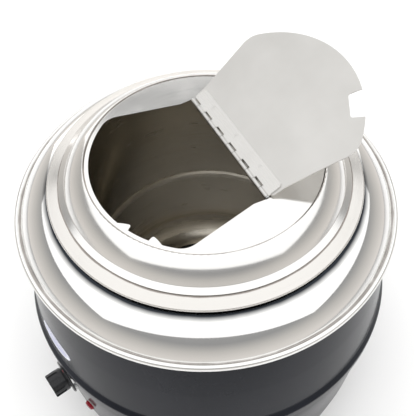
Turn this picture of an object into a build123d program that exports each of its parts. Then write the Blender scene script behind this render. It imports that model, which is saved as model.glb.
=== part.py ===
from build123d import *
from math import asin, cos, radians, sin, sqrt, tan
import os

# Electric soup kettle, 10 litre size. Millimetres, +Z up, origin on the axis at the underside
# of the feet, front (control knob) at -Y.

os.makedirs("parts", exist_ok=True)

# ---------------------------------------------------------------- driving dimensions
lip_radius = 170.0            # outside of the rolled lip of the top ring
lip_height = 262.0            # top of that lip above the table
gauge = 1.0                   # stainless sheet
shell_gauge = 1.2             # painted steel shells
rest_gap = 0.1                # between pieces that lift apart

foot_height = 10.8
base_gauge = 1.2
base_top = foot_height + base_gauge

shell_top = lip_height - 3.7  # upper shell's inward flange, top face
shell_top_radius = 163.0
seam_height = 139.0           # lower edge of the upper shell's bead
bead_radius = 178.9
lower_shell_radius = 175.4

hump_radius = 42.4            # section radius of the top ring
crown_radius = 127.4          # where the ring's hump is highest
crown_height = lip_height + 20.6
seat_radius = 123.0           # upturned inner edge of the ring, which carries the pot's flange

pot_radius = 117.6            # inside, at the mouth
pot_floor = 55.0              # inside
hem_radius = 1.7              # rolled edge of the pot's flange
hem_ring_radius = 134.7
flange_top = lip_height + 28.3

lid_radius = 125.3
ridge_radius = 101.5
ridge_height = lip_height + 47.3
lid_flat = ridge_height - 1.05
lid_turn = -10.0              # the lid is set down turned a little about Z

opening_radius = 97.0         # arc of the serving opening
flap_radius = 97.8            # arc of the flap, which overlaps the opening
flap_angle = 27.0             # open flap above the horizontal, leaning back on the knob
notch_angle = 31.5            # ladle notch, from the flap's middle towards +X
notch_width = 22.0
notch_floor = 85.5

hinge_back = 22.3             # hinge axis behind the lid's centre
hinge_length = 130.0
knuckle_count = 12
knuckle_radius = 2.2
pin_radius = 1.2
bore_radius = 1.25
leaf_width = 15.3
leaf_gauge = 1.0

control_height = 105.0
lamp_height = 84.5
lamp_azimuth = 280.0
gland_height = 40.0
reach = 195.5                 # knob in front and gland behind reach equally far

bath_floor = 45.0             # inside of the water bath
bath_radius = 131.0
bath_mouth_radius = 141.0
spreader_gauge = 4.0
spreader_radius = 95.0
element_radius = 4.0
element_ring_radius = 72.0
clamp_gauge = 1.6
stud_radius = 4.0


# ---------------------------------------------------------------- shared shapes
def sheet_section(points, bends, thickness, side=Side.LEFT):
    """Section of a pressed sheet: one face of it runs through (radius, height) points."""
    with BuildSketch(Plane.XZ) as section:
        with BuildLine():
            FilletPolyline(*points, radius=bends)
            offset(amount=thickness, side=side)
        make_face()
    return section.sketch


def ring_section(inner, outer, low, high):
    """Rectangle between two radii and two heights, to be revolved."""
    with BuildSketch(Plane.XZ) as section:
        with Locations(((inner + outer) / 2, (low + high) / 2)):
            Rectangle(outer - inner, high - low)
    return section.sketch


def route_radii(points):
    """Bend radii that let straight runs between the points join in wide arcs."""
    radii = []
    for before, corner, after in zip(points, points[1:], points[2:]):
        run_in = Vector(*corner) - Vector(*before)
        run_out = Vector(*after) - Vector(*corner)
        half_turn = radians(run_in.get_angle(run_out)) / 2
        radii.append(0.45 * min(run_in.length, run_out.length) / tan(half_turn))
    return radii


def route(points):
    """Path of straight runs and arcs through the points."""
    with BuildLine() as path:
        FilletPolyline(*points, radius=route_radii(points))
    return path


def round_wire(points, radius):
    """Wire or thin tube of one radius along a route."""
    path = route(points)
    with BuildPart() as tube:
        with BuildSketch(Plane(origin=path.line @ 0, z_dir=path.line % 0)):
            Circle(radius)
        sweep(path=path.line)
    return tube.part


def radial_plane(azimuth, radius, height):
    """Plane on the body's side, with its normal pointing outwards."""
    outward = (cos(radians(azimuth)), sin(radians(azimuth)), 0)
    origin = (radius * outward[0], radius * outward[1], height)
    return Plane(origin=origin, x_dir=(-outward[1], outward[0], 0), z_dir=outward)


# ---------------------------------------------------------------- lid frame and hinge frames
turn = radians(lid_turn)
lid_right = Vector(cos(turn), sin(turn), 0)
lid_back = Vector(-sin(turn), cos(turn), 0)
up = Vector(0, 0, 1)
hinge_height = lid_flat + 0.05
hinge_point = lid_back * hinge_back + up * hinge_height


def lid_plane(height):
    """Horizontal plane at a height, with its X along the hinge."""
    return Plane(origin=(0, 0, height), x_dir=lid_right, z_dir=up)


lean = radians(flap_angle)
flap_out = lid_back * cos(lean) + up * sin(lean)
flap_top = flap_out.cross(lid_right)
hinge_axis_plane = Plane(origin=hinge_point, x_dir=flap_out, z_dir=lid_right)
# In this plane the open flap has the X and Y that it has on the closed lid.
flap_plane = Plane(origin=hinge_point + flap_out * hinge_back, x_dir=lid_right, z_dir=flap_top)


def from_front(radius, angle, sideways=0.0):
    """Point on the lid at an angle from its front (-Y) towards +X, moved sideways."""
    a = radians(angle)
    return (radius * sin(a) + sideways * cos(a), sideways * sin(a) - radius * cos(a))


def meet_circle(start, through, radius):
    """Where the line from start through a second point meets a circle about the origin."""
    dx = through[0] - start[0]
    dy = through[1] - start[1]
    a = dx * dx + dy * dy
    b = 2 * (start[0] * dx + start[1] * dy)
    c = start[0] ** 2 + start[1] ** 2 - radius ** 2
    t = (-b + sqrt(b * b - 4 * a * c)) / (2 * a)
    return (start[0] + t * dx, start[1] + t * dy)


def d_shape(plane, rear, waist, widest, radius, rear_corner, shoulder_corner):
    """D-shaped face: straight rear, sides that open out, and a round front about the axis."""
    shoulder = meet_circle(waist, widest, radius)
    with BuildSketch(plane) as shape:
        with BuildLine():
            Polyline((0, rear[1]), rear, waist, shoulder)
            RadiusArc(shoulder, (0, -radius), radius)
            mirror(about=Plane.YZ)
        make_face()
        rear_corners = shape.vertices().filter_by_position(Axis.Y, rear[1] - 0.1, rear[1] + 0.1)
        fillet(rear_corners, rear_corner)
        shoulders = shape.vertices().filter_by_position(Axis.Y, shoulder[1] - 0.1, shoulder[1] + 0.1)
        fillet(shoulders, shoulder_corner)
    return shape.sketch

# ---------------------------------------------------------------- body shells
upper_points = [
    (150.0, shell_top),
    (shell_top_radius, shell_top),
    (169.4, 208.0),
    (175.2, 158.0),
    (bead_radius, 152.0),
    (bead_radius, 143.5),
    (177.0, seam_height),
]
upper_bends = [3.0, 250.0, 5.0, 5.0, 5.0]

with BuildPart() as upper_shell:
    revolve(sheet_section(upper_points, upper_bends, shell_gauge, Side.RIGHT), axis=Axis.Z)

upper_shell.part.label = "upper_shell"
export_step(upper_shell.part, "parts/upper_shell.step")

lower_points = [
    (lower_shell_radius, 150.0),
    (175.6, 118.0),
    (172.6, 52.0),
    (168.4, base_top),
    (152.0, base_top),
]
lower_bends = [250.0, 250.0, 7.0]
shaft_hole_radius = 6.0
screw_hole_radius = 2.25
bracket_screw_spacing = 28.0
lamp_hole_radius = 4.6
gland_hole_radius = 8.1
base_screw_ring = 158.0
base_screw_count = 4

with BuildPart() as lower_shell:
    revolve(sheet_section(lower_points, lower_bends, shell_gauge, Side.RIGHT), axis=Axis.Z)
    with BuildSketch(radial_plane(270, 150, control_height)):
        Circle(shaft_hole_radius)
        with GridLocations(bracket_screw_spacing, 0, 2, 1):
            Circle(screw_hole_radius)
    extrude(amount=40, mode=Mode.SUBTRACT)
    with BuildSketch(radial_plane(lamp_azimuth, 150, lamp_height)):
        Circle(lamp_hole_radius)
    extrude(amount=40, mode=Mode.SUBTRACT)
    with BuildSketch(radial_plane(90, 150, gland_height)):
        Circle(gland_hole_radius)
    extrude(amount=40, mode=Mode.SUBTRACT)
    with BuildSketch(Plane.XY.offset(base_top - 5)):
        with PolarLocations(base_screw_ring, base_screw_count):
            Circle(screw_hole_radius)
    extrude(amount=10, mode=Mode.SUBTRACT)

lower_shell.part.label = "lower_shell"
export_step(lower_shell.part, "parts/lower_shell.step")

# ---------------------------------------------------------------- badge on the upper shell
badge_height = 178.0
badge_gauge = 0.5
badge_points = [(shell_top_radius, shell_top), (169.4, 208.0), (175.2, 158.0)]

with BuildPart() as badge:
    revolve(sheet_section(badge_points, [250.0], badge_gauge, Side.LEFT), axis=Axis.Z)
    with BuildSketch(radial_plane(270, 150, badge_height)):
        Ellipse(24.5, 8.5)
    extrude(amount=40, mode=Mode.INTERSECT)

badge.part.label = "badge"
export_step(badge.part, "parts/badge.step")

# ---------------------------------------------------------------- top ring
hump_foot = asin((163.4 - crown_radius) / hump_radius)
hump_corner = crown_radius + hump_radius * tan(hump_foot / 2)
groove_height = lip_height - 2.2
groove_radius = hump_corner + (crown_height - groove_height) / tan(hump_foot)
bead_low = lip_height - 5.6
seat_height = flange_top - gauge - rest_gap
ring_points = [
    (seat_radius, seat_height),
    (seat_radius + 0.6, crown_height),
    (hump_corner, crown_height),
    (groove_radius, groove_height),
    (groove_radius + 1.5, lip_height),
    (lip_radius, lip_height),
    (lip_radius, bead_low),
    (groove_radius + 0.3, bead_low),
]
ring_bends = [1.5, hump_radius, 0.7, 1.2, 2.5, 2.5]

with BuildPart() as rim_ring:
    revolve(sheet_section(ring_points, ring_bends, gauge, Side.RIGHT), axis=Axis.Z)

rim_ring.part.label = "rim_ring"
export_step(rim_ring.part, "parts/rim_ring.step")

# ---------------------------------------------------------------- water bath and its insulation
bath_rim = shell_top + gauge
bath_points = [
    (164.0, bath_rim),
    (bath_mouth_radius, bath_rim),
    (bath_mouth_radius - 1, 237.0),
    (bath_radius + 4, 229.0),
    (bath_radius, bath_floor),
    (0.0, bath_floor),
]
bath_bends = [4.0, 5.0, 5.0, 13.0]
bath_underside = bath_floor - gauge

with BuildPart() as water_bath:
    revolve(sheet_section(bath_points, bath_bends, gauge, Side.LEFT), axis=Axis.Z)

water_bath.part.label = "water_bath"
export_step(water_bath.part, "parts/water_bath.step")

with BuildPart() as insulation_sleeve:
    revolve(ring_section(bath_mouth_radius + 2, 156.0, 133.0, 248.0), axis=Axis.Z)
    fillet(insulation_sleeve.edges().filter_by(GeomType.CIRCLE), 3)

insulation_sleeve.part.label = "insulation_sleeve"
export_step(insulation_sleeve.part, "parts/insulation_sleeve.step")

# ---------------------------------------------------------------- heating plate under the bath
spreader_low = bath_underside - spreader_gauge
element_height = spreader_low - element_radius
clamp_top = element_height - element_radius
clamp_low = clamp_top - clamp_gauge
clearance_hole = stud_radius + 0.3

with BuildPart() as heat_spreader:
    with BuildSketch(Plane.XY.offset(spreader_low)):
        Circle(spreader_radius)
        Circle(clearance_hole, mode=Mode.SUBTRACT)
    extrude(amount=spreader_gauge)
    chamfer(heat_spreader.edges().filter_by(GeomType.CIRCLE).group_by(Axis.Z)[0], 0.5)

heat_spreader.part.label = "heat_spreader"
export_step(heat_spreader.part, "parts/heat_spreader.step")

element_start = 50.0
element_end = 380.0
element_pin_reach = 104.0


def ring_point(radius, angle, height):
    """Point at a radius and an angle about the kettle's axis."""
    return (radius * cos(radians(angle)), radius * sin(radians(angle)), height)


with BuildPart() as heating_element:
    element_line = [ring_point(element_pin_reach, element_start, element_height)]
    for step in range(10):
        angle = element_start + (element_end - element_start) * step / 9
        element_line.append(ring_point(element_ring_radius * 1.05, angle, element_height))
    element_line.append(ring_point(element_pin_reach, element_end, element_height))
    with BuildLine(mode=Mode.PRIVATE) as element_path:
        FilletPolyline(*element_line, radius=[10.0] + [60.0] * 8 + [10.0])
    with BuildSketch(Plane(origin=element_path.line @ 0, z_dir=element_path.line % 0)):
        Circle(element_radius)
    sweep(path=element_path.line)

heating_element.part.label = "heating_element"
export_step(heating_element.part, "parts/heating_element.step")

with BuildPart() as element_clamp:
    with BuildSketch(Plane.XY.offset(clamp_low)):
        Circle(88)
        Circle(clearance_hole, mode=Mode.SUBTRACT)
        with PolarLocations(48, 6):
            Circle(9, mode=Mode.SUBTRACT)
    extrude(amount=clamp_gauge)

element_clamp.part.label = "element_clamp"
export_step(element_clamp.part, "parts/element_clamp.step")

nut_height = 6.4
stud_low = clamp_low - nut_height - 4

with BuildPart() as clamp_stud:
    with BuildSketch(Plane.XY.offset(stud_low)):
        Circle(stud_radius)
    extrude(amount=bath_underside - stud_low)
    chamfer(clamp_stud.faces().sort_by(Axis.Z)[0].edges(), 0.8)

clamp_stud.part.label = "clamp_stud"
export_step(clamp_stud.part, "parts/clamp_stud.step")

with BuildPart() as clamp_nut:
    with BuildSketch(Plane.XY.offset(clamp_low - nut_height)):
        RegularPolygon(6.5, 6, major_radius=False)
        Circle(stud_radius + 0.02, mode=Mode.SUBTRACT)
    extrude(amount=nut_height)

clamp_nut.part.label = "clamp_nut"
export_step(clamp_nut.part, "parts/clamp_nut.step")

# ---------------------------------------------------------------- base plate, its screws and the feet
foot_ring = 138.0
foot_count = 4
foot_screw_radius = 2.5
foot_angles = [45.0 + 360.0 / foot_count * i for i in range(foot_count)]
base_plate_radius = 164.0
base_screw_radius = 2.0
earth_stud_place = (0.0, 92.0)

with BuildPart() as base_plate:
    with BuildSketch(Plane.XY.offset(foot_height)):
        Circle(base_plate_radius)
        with PolarLocations(foot_ring, foot_count, start_angle=foot_angles[0]):
            Circle(foot_screw_radius + 0.1, mode=Mode.SUBTRACT)
        with PolarLocations(base_screw_ring, base_screw_count):
            Circle(screw_hole_radius, mode=Mode.SUBTRACT)
        with Locations(earth_stud_place):
            Circle(2.1, mode=Mode.SUBTRACT)
        for vent_ring, vent_count in ((60, 12), (78, 16)):
            with PolarLocations(vent_ring, vent_count):
                SlotOverall(12, 3, rotation=90, mode=Mode.SUBTRACT)
    extrude(amount=base_gauge)
    rim = base_plate.edges().filter_by(GeomType.CIRCLE).sort_by(SortBy.RADIUS)[-2:]
    fillet(rim, 0.4)

base_plate.part.label = "base_plate"
export_step(base_plate.part, "parts/base_plate.step")

with BuildPart() as base_screws:
    for angle in range(0, 360, 360 // base_screw_count):
        place = ring_point(base_screw_ring, angle, 0)
        with BuildSketch(Plane(origin=(place[0], place[1], foot_height - 2.2))):
            Circle(3.8)
        extrude(amount=2.2)
        with BuildSketch(Plane(origin=(place[0], place[1], foot_height))):
            Circle(base_screw_radius)
        extrude(amount=6)

base_screws.part.label = "base_screws"
export_step(base_screws.part, "parts/base_screws.step")

foot_recess = 5.0
for number, angle in enumerate(foot_angles, start=1):
    place = ring_point(foot_ring, angle, 0)
    with BuildPart() as foot:
        with BuildSketch(Plane(origin=place)):
            Circle(13)
        extrude(amount=foot_height, taper=-8)
        fillet(foot.faces().sort_by(Axis.Z)[0].edges(), 1.2)
        with BuildSketch(Plane(origin=place)):
            Circle(5.6)
        extrude(amount=foot_recess, mode=Mode.SUBTRACT)
        with BuildSketch(Plane(origin=place)):
            Circle(foot_screw_radius + 0.1)
        extrude(amount=foot_height, mode=Mode.SUBTRACT)

    foot.part.label = f"foot_{number}"
    export_step(foot.part, f"parts/foot_{number}.step")

with BuildPart() as foot_screws:
    for angle in foot_angles:
        place = ring_point(foot_ring, angle, foot_recess - 3)
        with BuildSketch(Plane(origin=place)):
            Circle(4.8)
        extrude(amount=3)
        with BuildSketch(Plane(origin=place)):
            Circle(foot_screw_radius)
        extrude(amount=base_top + 8 - place[2])

foot_screws.part.label = "foot_screws"
export_step(foot_screws.part, "parts/foot_screws.step")

with BuildPart() as foot_nuts:
    for angle in foot_angles:
        place = ring_point(foot_ring, angle, base_top)
        with BuildSketch(Plane(origin=place)):
            RegularPolygon(4, 6, major_radius=False)
            Circle(foot_screw_radius + 0.02, mode=Mode.SUBTRACT)
        extrude(amount=4)

foot_nuts.part.label = "foot_nuts"
export_step(foot_nuts.part, "parts/foot_nuts.step")

# ---------------------------------------------------------------- thermostat behind the front
bracket_face = 171.7          # distance of the bracket's front from the axis
bracket_gauge = 1.2
case_face = bracket_face - bracket_gauge
case_depth = 24.0
case_width = 36.0
case_height = 30.0
shaft_radius = 3.0
shaft_slack = 0.05
bush_radius = 5.0
blade_spread = 10.0
blade_depth = 158.0
skirt_back = 177.0
skirt_gauge = 2.0
skirt_radius = 17.5
collar_depth = 1.2
knob_back = skirt_back + skirt_gauge + collar_depth
knob_radius = 12.0


def front_plane(distance):
    """Upright plane at a distance in front of the axis, centred on the control shaft."""
    return Plane(origin=(0, -distance, control_height), x_dir=(1, 0, 0), z_dir=(0, -1, 0))


with BuildPart() as thermostat_bracket:
    with BuildSketch(front_plane(case_face)):
        RectangleRounded(44, 28, 3)
        Circle(bush_radius + 0.2, mode=Mode.SUBTRACT)
        with GridLocations(bracket_screw_spacing, 0, 2, 1):
            Circle(2.05, mode=Mode.SUBTRACT)
    extrude(amount=bracket_gauge)

thermostat_bracket.part.label = "thermostat_bracket"
export_step(thermostat_bracket.part, "parts/thermostat_bracket.step")

with BuildPart() as bracket_screws:
    with BuildSketch(front_plane(175.2)):
        with GridLocations(bracket_screw_spacing, 0, 2, 1):
            Circle(3.4)
    extrude(amount=1.5)
    with BuildSketch(front_plane(case_face - 3)):
        with GridLocations(bracket_screw_spacing, 0, 2, 1):
            Circle(2.0)
    extrude(amount=175.2 - case_face + 3)

bracket_screws.part.label = "bracket_screws"
export_step(bracket_screws.part, "parts/bracket_screws.step")

with BuildPart() as thermostat_body:
    with BuildSketch(front_plane(case_face - case_depth)):
        RectangleRounded(case_width, case_height, 2)
    extrude(amount=case_depth)
    with BuildSketch(front_plane(case_face)):
        Circle(bush_radius)
    extrude(amount=5.5)
    with BuildSketch(front_plane(case_face - 14)):
        Circle(shaft_radius + shaft_slack)
    extrude(amount=30, mode=Mode.SUBTRACT)
    with BuildSketch(front_plane(case_face - 4)):
        with GridLocations(bracket_screw_spacing, 0, 2, 1):
            Circle(2.2)
    extrude(amount=4, mode=Mode.SUBTRACT)
    blade_top = control_height - case_height / 2
    with BuildSketch(Plane.XY.offset(blade_top - 8)):
        with Locations((-blade_spread, -blade_depth), (blade_spread, -blade_depth)):
            Rectangle(6.3, 0.8)
    extrude(amount=8)

thermostat_body.part.label = "thermostat_body"
export_step(thermostat_body.part, "parts/thermostat_body.step")

shaft_flat = 2.0              # flat's distance from the shaft's centre
shaft_tip = reach - 3

with BuildPart() as thermostat_shaft:
    with BuildSketch(front_plane(case_face - 13.5)):
        Circle(shaft_radius)
    extrude(amount=knob_back - case_face + 13.5)
    with BuildSketch(front_plane(knob_back)):
        Circle(shaft_radius)
        with Locations((0, shaft_flat + 2)):
            Rectangle(8, 4, mode=Mode.SUBTRACT)
    extrude(amount=shaft_tip - knob_back)
    chamfer(thermostat_shaft.faces().sort_by(Axis.Y)[0].edges(), 0.4)

thermostat_shaft.part.label = "thermostat_shaft"
export_step(thermostat_shaft.part, "parts/thermostat_shaft.step")

mark_radius = 1.5
mark_offset = 14.4

with BuildPart() as dial_skirt:
    with BuildSketch(front_plane(skirt_back)):
        Circle(skirt_radius)
        Circle(shaft_radius + 0.02, mode=Mode.SUBTRACT)
    extrude(amount=skirt_gauge)
    front_rim = dial_skirt.edges().filter_by(GeomType.CIRCLE).group_by(Axis.Y)[0]
    chamfer(front_rim.sort_by(SortBy.RADIUS)[-1], 0.9)
    with BuildSketch(front_plane(skirt_back + skirt_gauge - 0.6)):
        with Locations((0, mark_offset)):
            Circle(mark_radius)
    extrude(amount=1, mode=Mode.SUBTRACT)

dial_skirt.part.label = "dial_skirt"
export_step(dial_skirt.part, "parts/dial_skirt.step")

with BuildPart() as pointer_mark:
    with BuildSketch(front_plane(skirt_back + skirt_gauge - 0.6)):
        with Locations((0, mark_offset)):
            Circle(mark_radius)
    extrude(amount=0.7)

pointer_mark.part.label = "pointer_mark"
export_step(pointer_mark.part, "parts/pointer_mark.step")

flute_count = 10
flute_width = 4.6
flute_depth = 1.1
flute_length = 12.5

with BuildPart() as control_knob:
    with BuildSketch(front_plane(skirt_back + skirt_gauge)):
        Circle(knob_radius - 1.0)
    extrude(amount=collar_depth)
    with BuildSketch(front_plane(knob_back)):
        Circle(knob_radius)
    extrude(amount=reach - knob_back)
    face_rim = control_knob.edges().filter_by(GeomType.CIRCLE).group_by(Axis.Y)[0]
    fillet(face_rim, 0.9)
    back_rim = control_knob.edges().filter_by(GeomType.CIRCLE).sort_by(SortBy.RADIUS)[-1]
    fillet(back_rim, 0.7)
    for number in range(flute_count):
        angle = radians(90 + 360 / flute_count * (number + 0.5))
        outward = Vector(cos(angle), 0, sin(angle))
        flute_end = Vector(0, -(reach + 1), control_height) + outward * (knob_radius - flute_depth)
        with BuildSketch(Plane(origin=flute_end, x_dir=(0, 1, 0), z_dir=outward)):
            SlotOverall(2 * flute_length, flute_width)
        extrude(amount=4, mode=Mode.SUBTRACT)
    with BuildSketch(front_plane(skirt_back)):
        Circle(shaft_radius + 0.02)
    extrude(amount=knob_back - skirt_back, mode=Mode.SUBTRACT)
    with BuildSketch(front_plane(knob_back)):
        Circle(shaft_radius + 0.02)
        with Locations((0, shaft_flat + 2.05)):
            Rectangle(8, 4, mode=Mode.SUBTRACT)
    extrude(amount=shaft_tip - knob_back + 0.5, mode=Mode.SUBTRACT)

control_knob.part.label = "control_knob"
export_step(control_knob.part, "parts/control_knob.step")

# ---------------------------------------------------------------- sensing bulb under the bath
bulb_radius = 3.0
bulb_distance = 107.0
bulb_half_length = 30.0
bulb_height = bath_underside - bulb_radius - 0.4
capillary_radius = 0.7

with BuildPart() as sensing_bulb:
    with BuildSketch(Plane.YZ.offset(-bulb_half_length)):
        with Locations((-bulb_distance, bulb_height)):
            Circle(bulb_radius)
    extrude(amount=2 * bulb_half_length)
    fillet(sensing_bulb.edges().filter_by(GeomType.CIRCLE), 1.2)

sensing_bulb.part.label = "sensing_bulb"
export_step(sensing_bulb.part, "parts/sensing_bulb.step")

with BuildPart() as bulb_clip:
    with BuildSketch(Plane.YZ.offset(-6)):
        with BuildLine():
            Polyline(
                (-bulb_distance - 9, bath_underside),
                (-bulb_distance - 4.2, bath_underside),
                (-bulb_distance - 4.2, bulb_height - 4.2),
                (-bulb_distance + 4.2, bulb_height - 4.2),
                (-bulb_distance + 4.2, bath_underside),
                (-bulb_distance + 9, bath_underside),
                (-bulb_distance + 9, bath_underside - 0.8),
                (-bulb_distance + 5, bath_underside - 0.8),
                (-bulb_distance + 5, bulb_height - 5),
                (-bulb_distance - 5, bulb_height - 5),
                (-bulb_distance - 5, bath_underside - 0.8),
                (-bulb_distance - 9, bath_underside - 0.8),
                close=True,
            )
        make_face()
    extrude(amount=12)

bulb_clip.part.label = "bulb_clip"
export_step(bulb_clip.part, "parts/bulb_clip.step")

capillary_route = [
    (-bulb_half_length - 0.15, -bulb_distance, bulb_height),
    (-38, -108, bulb_height),
    (-44, -120, 44),
    (-36, -137, 54),
    (-20, -147, 64),
    (-3, -152, 78),
    (0, -154, control_height - case_height / 2 - 0.3),
]
with BuildPart() as capillary_tube:
    add(round_wire(capillary_route, capillary_radius))

capillary_tube.part.label = "capillary_tube"
export_step(capillary_tube.part, "parts/capillary_tube.step")

# ---------------------------------------------------------------- overheat cut-out under the bath
cutout_angle = -30.0
cutout_ring = 109.0
cutout_low = 37.0
cutout_place = ring_point(cutout_ring, cutout_angle, cutout_low)

with BuildPart() as overheat_cutout:
    with BuildSketch(Plane(origin=cutout_place)):
        Circle(8)
    extrude(amount=bath_underside - cutout_low)
    with BuildSketch(Plane(origin=cutout_place)):
        with Locations((0, -5), (0, 5)):
            Rectangle(5, 0.8)
    extrude(amount=-6)

overheat_cutout.part.label = "overheat_cutout"
export_step(overheat_cutout.part, "parts/overheat_cutout.step")

# ---------------------------------------------------------------- terminal block, earth stud, wires
block_back = 126.0
pole_pitch = 10.0
block_height = 14.0
wire_radius = 1.3
wire_height = base_top + 6.5

with BuildPart() as terminal_block:
    with BuildSketch(Plane.XY.offset(base_top)):
        with Locations((0, block_back)):
            Rectangle(3 * pole_pitch + 2, 18)
    extrude(amount=6)
    with BuildSketch(Plane.XY.offset(base_top)):
        with Locations((0, block_back)):
            with GridLocations(pole_pitch, 0, 3, 1):
                Rectangle(8.5, 16)
    extrude(amount=block_height)
    with BuildSketch(Plane.XZ.offset(-block_back - 12)):
        with Locations((0, wire_height)):
            with GridLocations(pole_pitch, 0, 3, 1):
                Circle(1.6)
    extrude(amount=24, mode=Mode.SUBTRACT)
    with BuildSketch(Plane.XY.offset(wire_height)):
        with Locations((0, block_back)):
            with GridLocations(pole_pitch, 8, 3, 2):
                Circle(2.0)
    extrude(amount=block_height, mode=Mode.SUBTRACT)

terminal_block.part.label = "terminal_block"
export_step(terminal_block.part, "parts/terminal_block.step")

with BuildPart() as terminal_screws:
    with BuildSketch(Plane.XY.offset(wire_height + wire_radius + 0.1)):
        with Locations((0, block_back)):
            with GridLocations(pole_pitch, 8, 3, 2):
                Circle(1.95)
    extrude(amount=4.5)

terminal_screws.part.label = "terminal_screws"
export_step(terminal_screws.part, "parts/terminal_screws.step")

with BuildPart() as earth_stud:
    with BuildSketch(Plane(origin=(*earth_stud_place, foot_height - 2))):
        Circle(3.6)
    extrude(amount=2)
    with BuildSketch(Plane(origin=(*earth_stud_place, foot_height))):
        Circle(2.0)
    extrude(amount=14)

earth_stud.part.label = "earth_stud"
export_step(earth_stud.part, "parts/earth_stud.step")

with BuildPart() as earth_nut:
    with BuildSketch(Plane(origin=(*earth_stud_place, base_top))):
        RegularPolygon(3.5, 6, major_radius=False)
        Circle(2.02, mode=Mode.SUBTRACT)
    extrude(amount=3.2)

earth_nut.part.label = "earth_nut"
export_step(earth_nut.part, "parts/earth_nut.step")

block_front = block_back - 5.0
blade_tip = control_height - case_height / 2 - 8
pin_start = Vector(*ring_point(element_pin_reach, element_start, element_height))
pin_end = Vector(*ring_point(element_pin_reach, element_end, element_height))
start_out = Vector(*ring_point(1, element_start, 0))
end_out = Vector(*ring_point(1, element_end, 0))
cutout_foot = cutout_low - 6.05

wire_routes = {
    "live_wire": [
        (-pole_pitch, block_front, wire_height),
        (-pole_pitch, block_front - 14, wire_height),
        (-42, 78, 17),
        (-60, 40, 17),
        (-64, 0, 17),
        (-58, -44, 17),
        (-44, -86, 19),
        (-24, -124, 24),
        (-blade_spread, -blade_depth, 44),
        (-blade_spread, -blade_depth, blade_tip - 0.05),
    ],
    "switched_wire": [
        (blade_spread, -blade_depth, blade_tip - 0.05),
        (blade_spread, -blade_depth, 44),
        (34, -138, 24),
        (66, -108, 19),
        (cutout_place[0], cutout_place[1] - 5, 19),
        (cutout_place[0], cutout_place[1] - 5, cutout_foot),
    ],
    "protected_wire": [
        (cutout_place[0], cutout_place[1] + 5, cutout_foot),
        (cutout_place[0], cutout_place[1] + 5, 19),
        (116, -22, 19),
        (128, 14, 24),
        tuple(pin_end + end_out * 14),
        tuple(pin_end + end_out * 0.05),
    ],
    "neutral_wire": [
        (pole_pitch, block_front, wire_height),
        (pole_pitch, block_front - 14, wire_height),
        (36, 96, 20),
        (66, 104, 26),
        tuple(pin_start + start_out * 14),
        tuple(pin_start + start_out * 0.05),
    ],
    "earth_wire": [
        (0, block_front, wire_height),
        (0, block_front - 9, wire_height),
        (0, block_front - 18, base_top + 8.5),
        (0, earth_stud_place[1] + 2.2, base_top + 8),
    ],
}
for name, points in wire_routes.items():
    with BuildPart() as wire:
        add(round_wire(points, wire_radius))
    wire.part.label = name
    export_step(wire.part, f"parts/{name}.step")

# ---------------------------------------------------------------- pilot lamp
lamp_seat = 175.1
lens_radius = 5.6

with BuildPart() as lamp_lens:
    with BuildSketch(radial_plane(lamp_azimuth, lamp_seat, lamp_height)):
        Circle(lens_radius)
    extrude(amount=1.2)
    with BuildSketch(radial_plane(lamp_azimuth, lamp_seat, lamp_height)):
        Circle(lens_radius - 0.6)
    extrude(amount=3.2)
    fillet(lamp_lens.faces().sort_by(Axis.Y)[0].edges(), 1.8)

lamp_lens.part.label = "lamp_lens"
export_step(lamp_lens.part, "parts/lamp_lens.step")

with BuildPart() as lamp_barrel:
    with BuildSketch(radial_plane(lamp_azimuth, 150, lamp_height)):
        Circle(lamp_hole_radius - 0.1)
    extrude(amount=lamp_seat - 150)
    with BuildSketch(radial_plane(lamp_azimuth, 142, lamp_height)):
        with GridLocations(5, 0, 2, 1):
            Rectangle(0.8, 4)
    extrude(amount=8)

lamp_barrel.part.label = "lamp_barrel"
export_step(lamp_barrel.part, "parts/lamp_barrel.step")

with BuildPart() as lamp_nut:
    with BuildSketch(radial_plane(lamp_azimuth, 168.4, lamp_height)):
        RegularPolygon(7, 6, major_radius=False)
        Circle(lamp_hole_radius - 0.08, mode=Mode.SUBTRACT)
    extrude(amount=4)

lamp_nut.part.label = "lamp_nut"
export_step(lamp_nut.part, "parts/lamp_nut.step")

# ---------------------------------------------------------------- cable gland at the back
gland_seat = 172.8
gland_hex_depth = 6.0
seal_radius = 5.6
cable_radius = 3.7
seal_start = 176.0
cap_rim = 184.0               # where the cap closes in on the seal
seal_end = 190.0

with BuildPart() as cable_gland:
    with BuildSketch(radial_plane(90, gland_seat, gland_height)):
        RegularPolygon(11.5, 6, major_radius=False)
    extrude(amount=gland_hex_depth)
    with BuildSketch(radial_plane(90, 160, gland_height)):
        Circle(gland_hole_radius - 0.1)
    extrude(amount=cap_rim - 160)
    with BuildSketch(radial_plane(90, 160, gland_height)):
        Circle(cable_radius + 0.6)
    extrude(amount=40, mode=Mode.SUBTRACT)
    with BuildSketch(radial_plane(90, seal_start, gland_height)):
        Circle(seal_radius)
    extrude(amount=30, mode=Mode.SUBTRACT)

cable_gland.part.label = "cable_gland"
export_step(cable_gland.part, "parts/cable_gland.step")

with BuildPart() as gland_seal:
    with BuildSketch(radial_plane(90, seal_start, gland_height)):
        Circle(seal_radius)
        Circle(cable_radius, mode=Mode.SUBTRACT)
    extrude(amount=seal_end - seal_start)

gland_seal.part.label = "gland_seal"
export_step(gland_seal.part, "parts/gland_seal.step")

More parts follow.
